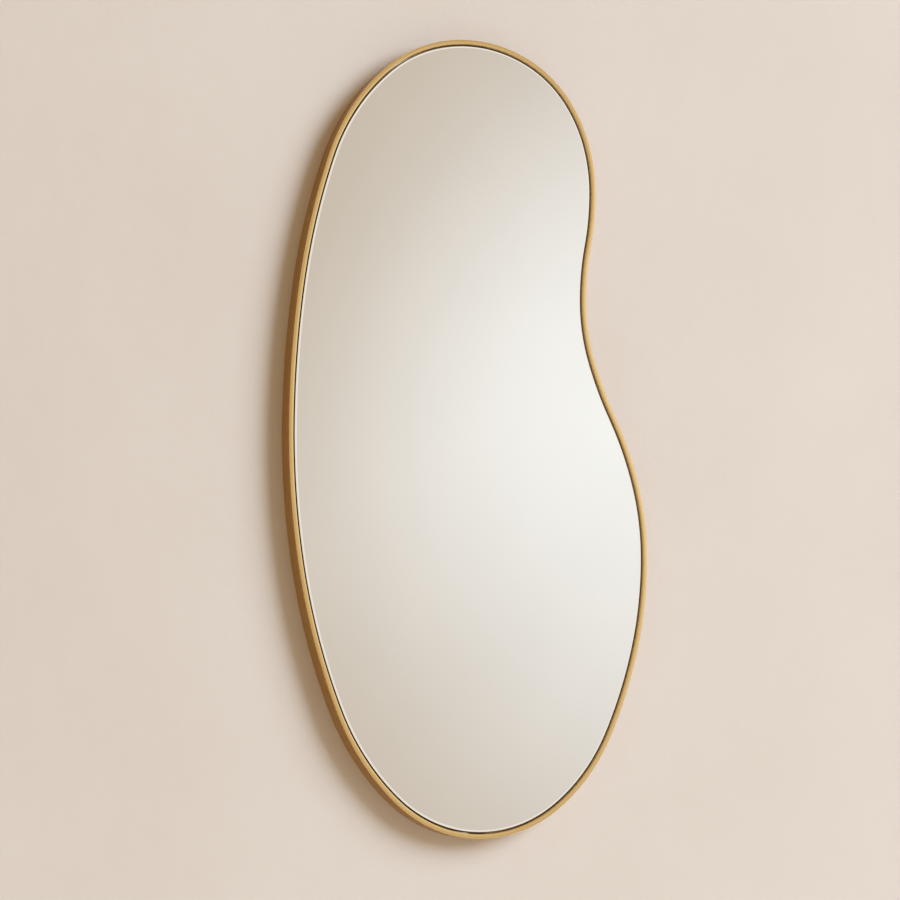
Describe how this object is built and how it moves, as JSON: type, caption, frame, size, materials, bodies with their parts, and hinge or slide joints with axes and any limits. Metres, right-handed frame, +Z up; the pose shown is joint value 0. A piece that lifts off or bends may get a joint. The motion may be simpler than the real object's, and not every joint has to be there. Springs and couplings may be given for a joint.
{
  "type": "irregular wall mirror",
  "caption": "Irregular pebble-shaped wall mirror: polished-edge glass in a slim brushed-brass flat-bar rim, on a backing board with swinging D-ring hangers.",
  "frame": {"origin": "on the wall plane, midway between the outline's highest, lowest, leftmost and rightmost points", "axes": "+Z up, +X to the right as seen from the front, +Y into the wall; the glass faces -Y"},
  "size_m": [0.45, 0.021, 0.9],
  "materials": {
    "brushed_brass": "brushed",
    "mirror": "polished",
    "film": "satin",
    "board": "raw fibreboard",
    "tape": "foam",
    "zinc_steel": "zinc plated",
    "screw_steel": "zinc plated",
    "ring_steel": "zinc plated wire",
    "bumper": "matt"
  },
  "bodies": {
    "mirror": {"frame_rim": "brushed_brass", "mirror_glass": "mirror", "safety_film": "film", "backing_board": "board", "tape_upper_1": "tape", "tape_lower_1": "tape", "tape_upper_2": "tape", "tape_lower_2": "tape", "tape_upper_3": "tape", "tape_lower_3": "tape", "lug_crown": "zinc_steel", "lug_shoulder": "zinc_steel", "lug_waist": "zinc_steel", "lug_belly": "zinc_steel", "lug_hip": "zinc_steel", "lug_foot": "zinc_steel", "lug_heel": "zinc_steel", "lug_back": "zinc_steel", "lug_neck": "zinc_steel", "lug_screws": "screw_steel", "hanger_screws": "screw_steel", "hanger_strap_left": "zinc_steel", "bumper_upper_left": "bumper", "bumper_lower_left": "bumper", "hanger_strap_right": "zinc_steel", "bumper_upper_right": "bumper", "bumper_lower_right": "bumper"},
    "ring_left": {"hanger_ring_left": "ring_steel"},
    "ring_right": {"hanger_ring_right": "ring_steel"}
  },
  "joints": [
    {"name": "ring_left_swing", "type": "hinge", "parent": "mirror", "child": "ring_left", "pos_m": [-0.106, -0.00629, 0.235], "axis": [-1, 0, 0], "range_deg": [-3, 175]},
    {"name": "ring_right_swing", "type": "hinge", "parent": "mirror", "child": "ring_right", "pos_m": [0.094, -0.00629, 0.235], "axis": [-1, 0, 0], "range_deg": [-3, 175]}
  ]
}
